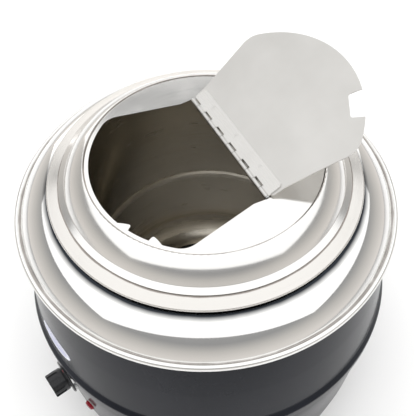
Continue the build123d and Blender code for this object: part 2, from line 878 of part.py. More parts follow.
with BuildPart() as gland_cap:
    with BuildSketch(radial_plane(90, gland_seat + gland_hex_depth, gland_height)):
        Circle(10.8)
    extrude(amount=reach - gland_seat - gland_hex_depth)
    fillet(gland_cap.faces().sort_by(Axis.Y)[-1].edges(), 4.5)
    with BuildSketch(radial_plane(90, gland_seat + gland_hex_depth, gland_height)):
        Circle(gland_hole_radius)
    extrude(amount=cap_rim - gland_seat - gland_hex_depth, mode=Mode.SUBTRACT)
    with BuildSketch(radial_plane(90, cap_rim, gland_height)):
        Circle(seal_radius + 0.1)
    extrude(amount=seal_end - cap_rim, mode=Mode.SUBTRACT)
    with BuildSketch(radial_plane(90, cap_rim, gland_height)):
        Circle(cable_radius + 0.6)
    extrude(amount=20, mode=Mode.SUBTRACT)
    for number in range(12):
        angle = radians(30 * number)
        outward = Vector(cos(angle), 0, sin(angle))
        grip_end = Vector(0, gland_seat + gland_hex_depth, gland_height) + outward * 10.1
        with BuildSketch(Plane(origin=grip_end, x_dir=(0, 1, 0), z_dir=outward)):
            SlotOverall(24, 2.6)
        extrude(amount=3, mode=Mode.SUBTRACT)

gland_cap.part.label = "gland_cap"
export_step(gland_cap.part, "parts/gland_cap.step")

with BuildPart() as gland_locknut:
    with BuildSketch(radial_plane(90, 163, gland_height)):
        RegularPolygon(11, 6, major_radius=False)
        Circle(gland_hole_radius - 0.08, mode=Mode.SUBTRACT)
    extrude(amount=4.5)

gland_locknut.part.label = "gland_locknut"
export_step(gland_locknut.part, "parts/gland_locknut.step")

# ---------------------------------------------------------------- soup pot
hem_height = flange_top - 4.0
pot_points = [
    (hem_ring_radius, hem_height + hem_radius),
    (lid_radius - 1, flange_top),
    (pot_radius, flange_top),
    (pot_radius - 0.4, 157.6),
    (pot_radius - 3.2, 154.0),
    (pot_radius - 4.2, pot_floor),
    (0.0, pot_floor),
]
pot_bends = [8.0, 3.4, 3.0, 3.0, 26.0]

with BuildPart() as soup_pot:
    with BuildSketch(Plane.XZ):
        add(sheet_section(pot_points, pot_bends, gauge, Side.LEFT))
    revolve(axis=Axis.Z)
    with BuildSketch(Plane.XZ):
        with Locations((hem_ring_radius, hem_height)):
            Circle(hem_radius)
    revolve(axis=Axis.Z)

soup_pot.part.label = "soup_pot"
export_step(soup_pot.part, "parts/soup_pot.step")

# ---------------------------------------------------------------- lid
opening_rear = hinge_back + 3.0
opening_corner = (66.5, opening_rear)
opening_waist = (65.6, 10.0)
opening_widest = (78.0, -47.0)
knob_back_offset = 70.0
lid_screw_radius = 2.5
lid_points = [
    (0.0, lid_flat),
    (ridge_radius - 1.1, lid_flat),
    (ridge_radius, ridge_height + 0.5),
    (113.0, ridge_height - 4.9),
    (120.0, lip_height + 32.0),
    (lid_radius, lip_height + 29.35),
]
lid_bends = [0.3, 1.2, 36.0, 1.5]

with BuildPart() as lid_cover:
    revolve(sheet_section(lid_points, lid_bends, gauge, Side.RIGHT), axis=Axis.Z)
    with BuildSketch(lid_plane(lid_flat + 1)):
        add(d_shape(Plane.XY, opening_corner, opening_waist, opening_widest, opening_radius, 3, 17))
        for side in (-1, 1):
            with BuildLine():
                FilletPolyline(
                    from_front(opening_radius + 2, notch_angle + side * 5.4),
                    from_front(91.6, notch_angle + side * 6.4),
                    from_front(93.6, notch_angle + side * 9.2),
                    from_front(opening_radius + 2, notch_angle + side * 14.0),
                    radius=[0, 1.6, 4.0, 0],
                    close=True,
                )
            make_face(mode=Mode.SUBTRACT)
    extrude(amount=-4, mode=Mode.SUBTRACT)
    with BuildSketch(lid_plane(lid_flat + 1)):
        with Locations((0, knob_back_offset)):
            Circle(lid_screw_radius + 0.2)
    extrude(amount=-4, mode=Mode.SUBTRACT)

lid_cover.part.label = "lid_cover"
export_step(lid_cover.part, "parts/lid_cover.step")

skirt_top = lip_height + 35.0

with BuildPart() as lid_skirt:
    revolve(ring_section(115.4, 116.4, flange_top - 5, skirt_top), axis=Axis.Z)

lid_skirt.part.label = "lid_skirt"
export_step(lid_skirt.part, "parts/lid_skirt.step")

# ---------------------------------------------------------------- piano hinge
knuckle_pitch = hinge_length / knuckle_count
knuckle_gap = 0.4
slot_reach = 3.6              # how far a leaf is cut back around the other leaf's knuckles


def hinge_leaf(plane, direction, first, low, high):
    """Leaf with every second knuckle, lying towards +Y or -Y of the hinge in the given plane."""
    with BuildPart() as leaf:
        with BuildSketch(plane.offset(low)) as plate:
            with Locations((0, hinge_back + direction * leaf_width / 2)):
                Rectangle(hinge_length, leaf_width)
            outer_corners = plate.vertices().group_by(Axis.Y)[0 if direction < 0 else -1]
            chamfer(outer_corners, 2.0)
            for number in range(1 - first, knuckle_count, 2):
                middle = -hinge_length / 2 + knuckle_pitch * (number + 0.5)
                with Locations((middle, hinge_back)):
                    Rectangle(knuckle_pitch + knuckle_gap, 2 * slot_reach, mode=Mode.SUBTRACT)
        extrude(amount=high - low)
        for number in range(first, knuckle_count, 2):
            start = -hinge_length / 2 + knuckle_pitch * number + knuckle_gap / 2
            with BuildSketch(hinge_axis_plane.offset(start)):
                Circle(knuckle_radius)
            extrude(amount=knuckle_pitch - knuckle_gap)
        with BuildSketch(hinge_axis_plane.offset(-hinge_length / 2 - 1)):
            Circle(bore_radius)
        extrude(amount=hinge_length + 2, mode=Mode.SUBTRACT)
    return leaf.part


weld_spacing = 40.0
weld_radius = 2.4
lid_leaf_top = -gauge - 0.05

with BuildPart() as hinge_leaf_lid:
    add(hinge_leaf(lid_plane(hinge_height), 1, 0, lid_leaf_top - leaf_gauge, lid_leaf_top))

hinge_leaf_lid.part.label = "hinge_leaf_lid"
export_step(hinge_leaf_lid.part, "parts/hinge_leaf_lid.step")

with BuildPart() as hinge_leaf_flap:
    add(hinge_leaf(flap_plane, -1, 1, -leaf_gauge, 0))
    with BuildSketch(flap_plane.offset(-leaf_gauge)):
        with Locations((0, hinge_back - leaf_width + 5)):
            with GridLocations(weld_spacing, 0, 3, 1):
                Circle(weld_radius)
    extrude(amount=0.25, mode=Mode.SUBTRACT)

hinge_leaf_flap.part.label = "hinge_leaf_flap"
export_step(hinge_leaf_flap.part, "parts/hinge_leaf_flap.step")

pin_head = 0.6

with BuildPart() as hinge_pin:
    with BuildSketch(hinge_axis_plane.offset(-hinge_length / 2 - pin_head)):
        Circle(pin_radius)
    extrude(amount=hinge_length + 2 * pin_head)
    for start in (-hinge_length / 2 - pin_head, hinge_length / 2):
        with BuildSketch(hinge_axis_plane.offset(start)):
            Circle(pin_radius + 0.5)
        extrude(amount=pin_head)

hinge_pin.part.label = "hinge_pin"
export_step(hinge_pin.part, "parts/hinge_pin.step")

# ---------------------------------------------------------------- flap
flap_rear = hinge_back - slot_reach - 0.4
flap_corner = (66.8, flap_rear)
flap_waist = (67.6, 7.0)
flap_widest = (80.5, -47.0)

with BuildPart() as lid_flap:
    with BuildSketch(flap_plane):
        add(d_shape(Plane.XY, flap_corner, flap_waist, flap_widest, flap_radius, 2, 19))
        with BuildLine():
            FilletPolyline(
                from_front(notch_floor, notch_angle, -notch_width / 2),
                from_front(notch_floor, notch_angle, notch_width / 2),
                from_front(flap_radius + 12, notch_angle, notch_width / 2 + 4),
                from_front(flap_radius + 12, notch_angle, -notch_width / 2 - 4),
                radius=[2.5, 2.5, 0, 0],
                close=True,
            )
        make_face(mode=Mode.SUBTRACT)
    extrude(amount=gauge)

lid_flap.part.label = "lid_flap"
export_step(lid_flap.part, "parts/lid_flap.step")

# ---------------------------------------------------------------- lid knob
washer_gauge = 0.8
lid_knob_height = 16.0
lid_knob_radius = 15.0
knob_underside = lid_flat + washer_gauge
lid_knob_place = lid_back * knob_back_offset


def knob_plane(height):
    """Horizontal plane centred on the lid knob."""
    return Plane(origin=lid_knob_place + up * height, x_dir=lid_right, z_dir=up)


with BuildPart() as knob_washer:
    with BuildSketch(knob_plane(lid_flat)):
        Circle(9)
        Circle(lid_screw_radius + 0.2, mode=Mode.SUBTRACT)
    extrude(amount=washer_gauge)

knob_washer.part.label = "knob_washer"
export_step(knob_washer.part, "parts/knob_washer.step")

with BuildPart() as lid_knob:
    with BuildSketch(knob_plane(knob_underside)):
        Circle(8.5)
    extrude(amount=8)
    with BuildSketch(knob_plane(knob_underside + 6.5)):
        Circle(lid_knob_radius)
    extrude(amount=lid_knob_height - 6.5)
    crown_edge = lid_knob.faces().sort_by(Axis.Z)[-1].edges()
    fillet(crown_edge, 4.0)
    skirt_edge = lid_knob.edges().filter_by(GeomType.CIRCLE).filter_by_position(
        Axis.Z, knob_underside + 6, knob_underside + 7
    )
    fillet(skirt_edge.sort_by(SortBy.RADIUS)[-1], 1.6)
    with BuildSketch(knob_plane(knob_underside)):
        Circle(lid_screw_radius + 0.02)
    extrude(amount=10.5, mode=Mode.SUBTRACT)

lid_knob.part.label = "lid_knob"
export_step(lid_knob.part, "parts/lid_knob.step")

with BuildPart() as lid_knob_screw:
    with BuildSketch(knob_plane(lid_flat - gauge - 2.6)):
        Circle(4.6)
    extrude(amount=2.6)
    with BuildSketch(knob_plane(lid_flat - gauge)):
        Circle(lid_screw_radius)
    extrude(amount=gauge + washer_gauge + 9.5)

lid_knob_screw.part.label = "lid_knob_screw"
export_step(lid_knob_screw.part, "parts/lid_knob_screw.step")
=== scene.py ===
"""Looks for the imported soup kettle: procedural materials, even shading, floor, lights
and camera.

Everything is in metres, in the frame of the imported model: z = 0 is the table, the control knob faces -Y.
"""

import math

import bmesh
import bpy
from mathutils import Matrix, Vector


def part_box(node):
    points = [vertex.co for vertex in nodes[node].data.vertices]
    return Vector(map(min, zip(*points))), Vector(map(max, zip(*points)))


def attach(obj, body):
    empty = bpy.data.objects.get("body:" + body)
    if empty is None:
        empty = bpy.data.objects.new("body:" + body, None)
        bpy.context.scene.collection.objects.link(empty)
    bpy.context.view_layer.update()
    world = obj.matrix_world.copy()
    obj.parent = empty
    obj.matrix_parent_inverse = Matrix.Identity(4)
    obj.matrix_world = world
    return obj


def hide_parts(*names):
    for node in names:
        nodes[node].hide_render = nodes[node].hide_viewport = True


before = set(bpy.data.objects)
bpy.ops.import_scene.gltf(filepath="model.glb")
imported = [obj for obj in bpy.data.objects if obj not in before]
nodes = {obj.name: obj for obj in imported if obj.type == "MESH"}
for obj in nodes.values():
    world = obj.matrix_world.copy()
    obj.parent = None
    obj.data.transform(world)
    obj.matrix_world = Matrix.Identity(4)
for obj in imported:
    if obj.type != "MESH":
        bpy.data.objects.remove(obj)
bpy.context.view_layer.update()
scene = bpy.context.scene

MM = 0.001
LIP_HEIGHT = 0.262              # the ring's outer lip above the table
RIDGE_FOOT = 0.101              # radius of the fold round the lid's flat top
GROOVE = 0.1652                 # radius of the groove inside the ring's lip
POT_STEP = 0.1535               # height of the step in the pot's wall, where a highlight band is painted
POT_CORNER = 0.066              # height of the bend between the pot's wall and floor, where a second highlight band is painted
LID_TURN = math.radians(-10.0)  # how far the lid is set down turned about Z
# painted shade: the brown-grey laid into folds and gaps round the axis
FOLD_SHADE = (0.20, 0.17, 0.15)

# The camera: where it stands as seen from its aim, and how far it leans about its own line of sight.
VIEW_AZIMUTH = 53.7
VIEW_ELEVATION = 51.8
VIEW_DISTANCE = 0.530
VIEW_ROLL = math.radians(-1.64)
VIEW_AIM = Vector((0.0179, -0.0107, LIP_HEIGHT))
LENS = 52.26

stand_ins = {}                  # CAD node name: the object that is shown in its place


# ---------------------------------------------------------------- node trees

class Tree:
    """A material's node tree with one Principled shader, built by short calls."""

    def __init__(self, name):
        self.material = bpy.data.materials.new(name)
        self.material.use_nodes = True
        self.tree = self.material.node_tree
        self.tree.nodes.clear()
        self.shader = self.node("ShaderNodeBsdfPrincipled")
        output = self.node("ShaderNodeOutputMaterial")
        self.tree.links.new(self.shader.outputs[0], output.inputs["Surface"])
        self.place = self.node("ShaderNodeTexCoord").outputs["Object"]

    def node(self, kind, **settings):
        made = self.tree.nodes.new(kind)
        for key, value in settings.items():
            setattr(made, key, value)
        return made

    def feed(self, socket, value):
        """Joins an output to an input, or sets the input to a plain value."""
        if isinstance(value, bpy.types.NodeSocket):
            self.tree.links.new(value, socket)
        elif socket.type == "RGBA" and len(value) == 3:
            socket.default_value = (*value, 1.0)
        else:
            socket.default_value = value

    def set(self, **inputs):
        for key, value in inputs.items():
            self.feed(self.shader.inputs[key.replace("_", " ")], value)
        return self

    def math(self, operation, first, second=0.0):
        made = self.node("ShaderNodeMath", operation=operation)
        for socket, value in zip(made.inputs, (first, second)):
            self.feed(socket, value)
        return made.outputs[0]

    def parts(self):
        """The three components of the object-space position."""
        return self.node_from("ShaderNodeSeparateXYZ", self.place).outputs

    def node_from(self, kind, source, **settings):
        made = self.node(kind, **settings)
        self.feed(made.inputs[0], source)
        return made

    def vector(self, x, y, z):
        made = self.node("ShaderNodeCombineXYZ")
        for socket, value in zip(made.inputs, (x, y, z)):
            self.feed(socket, value)
        return made.outputs[0]

    def stretched(self, *scales):
        """The object-space position with each component scaled, for noise drawn out along an axis."""
        return self.vector(*(self.math("MULTIPLY", part, scale) for part, scale in zip(self.parts(), scales)))

    def noise(self, scale, detail=3.0, roughness=0.5, place=None):
        made = self.node("ShaderNodeTexNoise")
        self.feed(made.inputs["Vector"], self.place if place is None else place)
        for key, value in (("Scale", scale), ("Detail", detail), ("Roughness", roughness)):
            self.feed(made.inputs[key], value)
        return made.outputs["Fac"]

    def spread(self, value, low, high, start=0.3, end=0.7):
        """Maps a noise value from start..end to low..high."""
        made = self.node("ShaderNodeMapRange")
        for socket, item in zip(made.inputs, (value, start, end, low, high)):
            self.feed(socket, item)
        return made.outputs[0]

    def mix(self, share, first, second):
        made = self.node("ShaderNodeMix", data_type="RGBA")
        self.feed(made.inputs["Factor"], share)
        colours = [socket for socket in made.inputs if socket.type == "RGBA"]
        self.feed(colours[0], first)
        self.feed(colours[1], second)
        return next(socket for socket in made.outputs if socket.type == "RGBA")

    def bump(self, height, distance, strength=1.0, under=None):
        made = self.node("ShaderNodeBump")
        self.feed(made.inputs["Height"], height)
        self.feed(made.inputs["Distance"], distance)
        self.feed(made.inputs["Strength"], strength)
        if under is not None:
            self.feed(made.inputs["Normal"], under)
        return made.outputs[0]

    def radius(self):
        """Distance from the kettle's axis."""
        x, y, _ = self.parts()
        squares = self.math("ADD", self.math("MULTIPLY", x, x), self.math("MULTIPLY", y, y))
        return self.math("SQRT", squares)

    def round_axis(self):
        """The direction round the kettle's axis, for the grain of turned metal."""
        crossed = self.node("ShaderNodeVectorMath", operation="CROSS_PRODUCT")
        crossed.inputs[0].default_value = (0.0, 0.0, 1.0)
        self.feed(crossed.inputs[1], self.place)
        unit = self.node_from("ShaderNodeVectorMath", crossed.outputs[0], operation="NORMALIZE")
        return unit.outputs[0]


def shade(names, tree):
    """Gives the named nodes, or what stands for them, one material."""
    for name in names.split():
        mesh = stand_ins.get(name, nodes[name]).data
        mesh.materials.clear()
        mesh.materials.append(tree.material)


# ---------------------------------------------------------------- spun sheet, turned afresh at a finer pitch

TURN_STEPS = 288
CREASE = math.radians(24.0)     # faces that meet at more than this stay sharp
ON_AXIS = 1e-6                  # closer to the axis than this is on it
SIDEWAYS = 0.06                 # a face that leans further round the axis than this is a cut edge


def seam_profile(mesh):
    """A turned node's section in the +X half-plane, as a chain of (radius, height), and whether it closes."""
    places = {}
    for vertex in mesh.vertices:
        x, y, z = vertex.co
        if abs(y) < ON_AXIS and x > -ON_AXIS:
            places[vertex.index] = (round(max(x, 0.0), 6), round(z, 6))
    joined = {}
    for edge in mesh.edges:
        first, second = (places.get(index) for index in edge.vertices)
        if first is None or second is None or first == second:
            continue
        joined.setdefault(first, set()).add(second)
        joined.setdefault(second, set()).add(first)
    ends = sorted(point for point, others in joined.items() if len(others) == 1)
    start = ends[0] if ends else min(joined)
    chain, last = [start], None
    while True:
        onward = sorted(
            other for other in joined[chain[-1]] if other != last and other not in chain)
        if not onward:
            break
        last = chain[-1]
        chain.append(onward[0])
    if len(chain) != len(joined):
        raise RuntimeError(f"the profile has {len(joined)} points and the chain {len(chain)}")
    return chain, not ends


def held_flat(chain, closed, hold=0.4 * MM):
    """Adds points just inside the ends of long runs beside short ones, so a flat stays flat beside a bend."""
    chain = [Vector(point) for point in chain]
    count = len(chain) if closed else len(chain) - 1
    runs = [(chain[(index + 1) % len(chain)] - chain[index]).length for index in range(count)]
    points = []
    for index, run in enumerate(runs):
        first, second = chain[index], chain[(index + 1) % len(chain)]
        points.append(first)
        if run > 3 * hold and runs[index - 1] < 0.5 * run:
            points.append(first.lerp(second, hold / run))
        if run > 3 * hold and runs[(index + 1) % count] < 0.5 * run:
            points.append(second.lerp(first, hold / run))
    if not closed:
        points.append(chain[-1])
    return points


def show_instead(name, suffix, mesh, body):
    """Shows a mesh in place of a CAD node, riding on the node's body."""
    piece = bpy.data.objects.new(name + suffix, mesh)
    scene.collection.objects.link(piece)
    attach(piece, body)
    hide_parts(name)
    stand_ins[name] = piece


def turn_afresh(name, body):
    """Replaces a turned CAD node by the same section spun in fine, even steps."""
    chain, closed = seam_profile(nodes[name].data)
    points = held_flat(chain, closed)
    area = sum(a.x * b.y - b.x * a.y for a, b in zip(points, points[1:] + points[:1]))
    if area < 0:
        points.reverse()
    built = bmesh.new()
    rings = []
    for point in points:
        if point.x < ON_AXIS:
            rings.append([built.verts.new((0.0, 0.0, point.y))])
            continue
        ring = []
        for step in range(TURN_STEPS):
            angle = 2 * math.pi * step / TURN_STEPS
            x, y = point.x * math.cos(angle), point.x * math.sin(angle)
            ring.append(built.verts.new((x, y, point.y)))
        rings.append(ring)
    spans = len(points) if closed else len(points) - 1
    for index in range(spans):
        low, high = rings[index], rings[(index + 1) % len(rings)]
        for step in range(TURN_STEPS):
            after = (step + 1) % TURN_STEPS
            corners = [low[step % len(low)], low[after % len(low)],
                       high[after % len(high)], high[step % len(high)]]
            corners = [corner for place, corner in enumerate(corners) if corner not in corners[:place]]
            built.faces.new(corners)
    for face in built.faces:
        face.smooth = True
    for edge in built.edges:
        if len(edge.link_faces) == 2 and edge.calc_face_angle(0.0) > CREASE:
            edge.smooth = False
    mesh = bpy.data.meshes.new(name + "_turned")
    built.to_mesh(mesh)
    built.free()
    show_instead(name, "_turned", mesh, body)


def even_normals(name, body):
    """Replaces a turned node that has cut-outs by a copy whose shading runs evenly round the axis."""
    mesh = nodes[name].data.copy()
    mesh.name = name + "_even"
    normals = [Vector(item.vector) for item in mesh.corner_normals]
    facing = {}
    for face in mesh.polygons:
        middle = Vector((face.center.x, face.center.y, 0.0))
        if middle.length < ON_AXIS:
            continue
        outward = middle.normalized()
        along = Vector((-outward.y, outward.x, 0.0))
        if abs(face.normal.dot(along)) < SIDEWAYS:
            flat = Vector((face.normal.dot(outward), face.normal.z))
            facing[face.index] = flat.normalized()
    shared = {}
    for index, flat in facing.items():
        face = mesh.polygons[index]
        for vertex in face.vertices:
            x, y, z = mesh.vertices[vertex].co
            ring = (round(math.hypot(x, y), 5), round(z, 5))
            shared.setdefault(ring, []).append((flat, face.area))
    totals = {}
    for index, flat in facing.items():
        face = mesh.polygons[index]
        heading = round(math.atan2(flat.y, flat.x), 2)
        for corner, vertex in zip(face.loop_indices, face.vertices):
            x, y, z = mesh.vertices[vertex].co
            radius = math.hypot(x, y)
            ring = (round(radius, 5), round(z, 5))
            if (ring, heading) not in totals:
                near = [other * area for other, area in shared[ring]
                        if other.dot(flat) > math.cos(CREASE)]
                totals[ring, heading] = sum(near, Vector((0.0, 0.0))).normalized()
            total = totals[ring, heading]
            normals[corner] = Vector((total.x * x / radius, total.x * y / radius, total.y))
    mesh.normals_split_custom_set(normals)
    show_instead(name, "_even", mesh, body)


even_normals("lower_shell", "kettle")
even_normals("lid_cover", "lid")
for turned, turned_body, turned_slot in (
    ("upper_shell", "kettle", "body_paint"),
    ("rim_ring", "kettle", "polished_steel"),
    ("water_bath", "kettle", "brushed_steel"),
    ("soup_pot", "pot", "pot_steel"),
    ("lid_skirt", "lid", "brushed_steel"),
):
    turn_afresh(turned, turned_body)


# ---------------------------------------------------------------- materials

ACROSS_THE_GRAIN = 0.25         # a quarter turn: turned lines spread a highlight across themselves
LINE_DRIFT = 0.004              # how little the turned lines change along their own length


def turned_metal(name, colour, roughness, line_pitch, line_depth, grain=0.5, tint=0.03, bands=0.0):
    """Spun or polished sheet: fine lines round the axis, a soft change of tone and fingerprints."""
    tree = Tree(name)
    x, y, z = tree.parts()
    drift = tree.math("MULTIPLY", tree.math("ADD", x, y), LINE_DRIFT)
    lines = tree.vector(tree.radius(), z, drift)
    fine = tree.noise(1.0 / line_pitch, 3.0, 0.6, lines)
    coarse = tree.noise(0.12 / line_pitch, 2.0, 0.5, lines)
    broad = tree.noise(14.0, 2.0, 0.5)
    smear = tree.noise(38.0, 5.0, 0.6)
    lined = tree.math(
        "ADD", tree.spread(fine, roughness * 0.85, roughness * 1.15), tree.spread(coarse, -bands, bands))
    low = [max(0.0, c - tint) for c in colour]
    high = [min(1.0, c + tint) for c in colour]
    tree.set(
        Base_Color=tree.mix(tree.spread(broad, 0.0, 1.0), low, high),
        Metallic=1.0,
        Roughness=tree.math("ADD", lined, tree.spread(smear, 0.0, roughness * 0.3, 0.5, 0.8)),
        Anisotropic=grain,
        Anisotropic_Rotation=ACROSS_THE_GRAIN,
        Tangent=tree.round_axis(),
    )
    return tree.set(Normal=tree.bump(coarse, line_depth * 3.0, under=tree.bump(fine, line_depth)))


def overlaid(tree, share, colour):
    """Lays a second colour over a tree's own by a share that a node works out."""
    clean = tree.shader.inputs["Base Color"].links[0].from_socket
    return tree.set(Base_Color=tree.mix(share, clean, colour))


def painted_fold_shade(tree, radius, half_width, strength):
    """A line of painted shade in a fold or gap that runs round the axis."""
    off = tree.math("ABSOLUTE", tree.math("SUBTRACT", tree.radius(), radius))
    ragged = tree.spread(tree.noise(45.0, 3.0), -0.25 * half_width, 0.25 * half_width)
    share = tree.spread(tree.math("ADD", off, ragged), strength, 0.0, 0.4 * half_width, half_width)
    return overlaid(tree, share, FOLD_SHADE)


def painted_gap_shadow(tree):
    """Darkens the ring beside the gap under the pot's flange: a painted shadow and reflection of the flange's
    dark underside.
    """
    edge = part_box("soup_pot")[1].x
    ragged = tree.spread(tree.noise(30.0, 3.0), -0.4 * MM, 0.4 * MM)
    patchy = tree.math("ADD", tree.radius(), ragged)
    share = tree.spread(patchy, 1.0, 0.0, edge + 1.0 * MM, edge + 5.0 * MM)
    # the colour of the painted shadow beside the gap
    return overlaid(tree, share, (0.026, 0.030, 0.036))


def painted_highlight_band(tree, height, half_width, colour, roughness):
    """A painted highlight band round the pot's wall, in broken streaks, which also makes the steel rougher
    there.
    """
    _, _, z = tree.parts()
    off = tree.math("ABSOLUTE", tree.math("SUBTRACT", z, height))
    streaks = tree.noise(1.0, 3.0, 0.7, tree.stretched(60.0, 60.0, 1800.0))
    within = tree.spread(off, 1.0, 0.0, 0.2 * half_width, half_width)
    band = tree.math("MULTIPLY", within, tree.spread(streaks, 0.35, 1.0))
    dull = tree.shader.inputs["Roughness"].links[0].from_socket
    rough = tree.math("ADD", dull, tree.math("MULTIPLY", band, roughness))
    return overlaid(tree, band, colour).set(Roughness=rough)


def lit_flange(tree, colour):
    """Gives the pot's flange a lighter colour than the wall, whose darker colour is painted shade for the
    inside of the pot, and a line of painted shade at the lid's edge.
    """
    _, _, z = tree.parts()
    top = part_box("soup_pot")[1].z
    tree = overlaid(tree, tree.spread(z, 0.0, 1.0, top - 9.0 * MM, top - 5.0 * MM), colour)
    # a line of painted shade where the lid's edge sits on the flange
    return painted_fold_shade(tree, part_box("lid_cover")[1].x + 0.1 * MM, 1.3 * MM, 0.85)


def moulded(name, colour, roughness, grain_size=0.6 * MM, grain_depth=0.02 * MM, gloss=0.5):
    """Moulded plastic or rubber: a fine grain, slightly uneven gloss and handling marks."""
    tree = Tree(name)
    grain = tree.noise(1.0 / grain_size, 3.0, 0.6)
    patch = tree.noise(60.0, 3.0, 0.6)
    dark = [c * 0.85 for c in colour]
    light = [min(1.0, c * 1.15 + 0.004) for c in colour]
    tree.set(
        Base_Color=tree.mix(tree.spread(patch, 0.0, 1.0), dark, light),
        Roughness=tree.spread(patch, roughness * 0.85, roughness * 1.2),
        Specular_IOR_Level=gloss,
        Normal=tree.bump(grain, grain_depth),
    )
    return tree


def enamel(name, colour):
    """Baked gloss paint: a faint orange peel, dust specks and slight dulling near the table."""
    tree = Tree(name)
    _, _, z = tree.parts()
    peel = tree.noise(420.0, 2.0, 0.4)
    cloud = tree.noise(11.0, 3.0, 0.55)
    speck = tree.noise(900.0, 1.0, 0.5)
    worn = tree.spread(z, 1.0, 0.0, 0.0, 0.09)
    dark = [c * 0.8 for c in colour]
    light = [c * 1.25 + 0.002 for c in colour]
    base = tree.mix(tree.spread(cloud, 0.0, 1.0), dark, light)
    base = tree.mix(tree.spread(speck, 0.0, 0.35, 0.72, 0.8), base, (0.16, 0.16, 0.17))
    return tree.set(
        Base_Color=base,
        Roughness=tree.math("ADD", tree.spread(cloud, 0.16, 0.22), tree.math("MULTIPLY", worn, 0.06)),
        IOR=1.46,
        Specular_IOR_Level=0.09,
        Specular_Tint=(0.82, 0.88, 1.0, 1.0),
        Normal=tree.bump(peel, 0.01 * MM),
    )


def brushed_sheet(name, colour, roughness, along, across):
    """Flat sheet brushed in one direction: long fine scratches with a satin tone."""
    pitch = 0.25 * MM
    tree = Tree(name)
    stretch = []
    for direction, scale in ((along, 6.0), (across, 1.0 / pitch)):
        product = tree.node("ShaderNodeVectorMath", operation="DOT_PRODUCT")
        tree.feed(product.inputs[0], tree.place)
        product.inputs[1].default_value = direction
        stretch.append(tree.math("MULTIPLY", product.outputs["Value"], scale))
    _, _, z = tree.parts()
    lines = tree.vector(*stretch, tree.math("MULTIPLY", z, 6.0))
    scratches = tree.noise(1.0, 4.0, 0.6, lines)
    satin = tree.spread(scratches, roughness * 0.85, roughness * 1.15)
    broad = tree.noise(22.0, 3.0, 0.5)
    low = [c - 0.03 for c in colour]
    high = [min(1.0, c + 0.03) for c in colour]
    tangent = tree.node("ShaderNodeCombineXYZ")
    for socket, value in zip(tangent.inputs, along):
        socket.default_value = value
    return tree.set(
        Base_Color=tree.mix(tree.spread(broad, 0.0, 1.0), low, high),
        Metallic=1.0,
        Roughness=tree.math("ADD", satin, tree.spread(broad, 0.0, 0.05)),
        Anisotropic=0.4,
        Tangent=tangent.outputs[0],
        Normal=tree.bump(scratches, 0.004 * MM),
    )


def plated(name, colour, roughness):
    """Zinc-plated small parts: mottled grey with tool marks."""
    tree = Tree(name)
    mottle = tree.noise(260.0, 3.0, 0.6)
    marks = tree.noise(1400.0, 2.0, 0.5)
    low = [c * 0.85 for c in colour]
    high = [min(1.0, c * 1.1) for c in colour]
    return tree.set(
        Base_Color=tree.mix(tree.spread(mottle, 0.0, 1.0), low, high),
        Metallic=1.0,
        Roughness=tree.spread(mottle, roughness * 0.8, roughness * 1.25),
        Normal=tree.bump(marks, 0.01 * MM),
    )


def fibre_mat(name, colour):
    """Mineral-fibre insulation: matted strands."""
    tree = Tree(name)
    strands = tree.noise(1.0, 4.0, 0.7, tree.stretched(300.0, 300.0, 60.0))
    return tree.set(
        Base_Color=tree.mix(tree.spread(strands, 0.0, 1.0), [c * 0.7 for c in colour], colour),
        Roughness=0.95,
        Sheen_Weight=0.3,
        Normal=tree.bump(strands, 0.4 * MM),
    )


def glowing_lens(name, colour):
    """Clear red plastic with moulded ribs, lit faintly from behind."""
    tree = Tree(name)
    x, _, _ = tree.parts()
    ribs = tree.math("SINE", tree.math("MULTIPLY", x, 2.0 * math.pi / (1.1 * MM)))
    cloud = tree.noise(180.0, 2.0)
    return tree.set(
        Base_Color=tree.mix(tree.spread(cloud, 0.0, 1.0), [c * 0.75 for c in colour], colour),
        Roughness=tree.spread(cloud, 0.12, 0.2),
        Transmission_Weight=0.15,
        Specular_IOR_Level=0.25,
        Emission_Color=(*colour, 1.0),
        Emission_Strength=0.1,
        Normal=tree.bump(ribs, 0.05 * MM),
    )


def blank_badge(name, middle, edge):
    """A blank film label: a pale rim round a lavender field."""
    tree = Tree(name)
    low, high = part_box("badge")
    centre, half = (low + high) / 2, (high - low) / 2
    x, _, z = tree.parts()
    across = tree.math("DIVIDE", x, half.x)
    up = tree.math("DIVIDE", tree.math("SUBTRACT", z, centre.z), half.z)
    squares = tree.math("ADD", tree.math("MULTIPLY", across, across), tree.math("MULTIPLY", up, up))
    reach = tree.math("SQRT", squares)
    grain = tree.noise(700.0, 2.0)
    return tree.set(
        Base_Color=tree.mix(tree.spread(reach, 0.0, 1.0, 0.8, 0.86), middle, edge),
        Roughness=tree.spread(grain, 0.25, 0.35),
        Coat_Weight=0.5,
        Coat_Roughness=0.1,
        Normal=tree.bump(grain, 0.004 * MM),
    )


shade("upper_shell lower_shell", enamel("black_enamel", (0.009, 0.010, 0.014)))

polished_ring = turned_metal("polished_ring", (0.84, 0.835, 0.82), 0.06, 0.7 * MM, 0.0004 * MM, 0.3)
# painted shade in the ring's groove, and a painted shadow beside the gap under the pot's flange
shade("rim_ring", painted_fold_shade(painted_gap_shadow(polished_ring), GROOVE, 0.9 * MM, 0.7))
# a line of painted shade in the fold round the lid's flat top
spun_lid = turned_metal("spun_lid", (0.82, 0.81, 0.79), 0.12, 0.5 * MM, 0.0005 * MM, 0.6)
shade("lid_cover lid_skirt", painted_fold_shade(spun_lid, RIDGE_FOOT, 0.8 * MM, 0.8))
# the pot's darker, warmer colour is painted shade for the inside of the pot; the flange gets a lighter colour
spun_pot = turned_metal(
    "spun_pot", (0.56, 0.52, 0.445), 0.22, 0.6 * MM, 0.0005 * MM, 0.85, tint=0.012, bands=0.03)
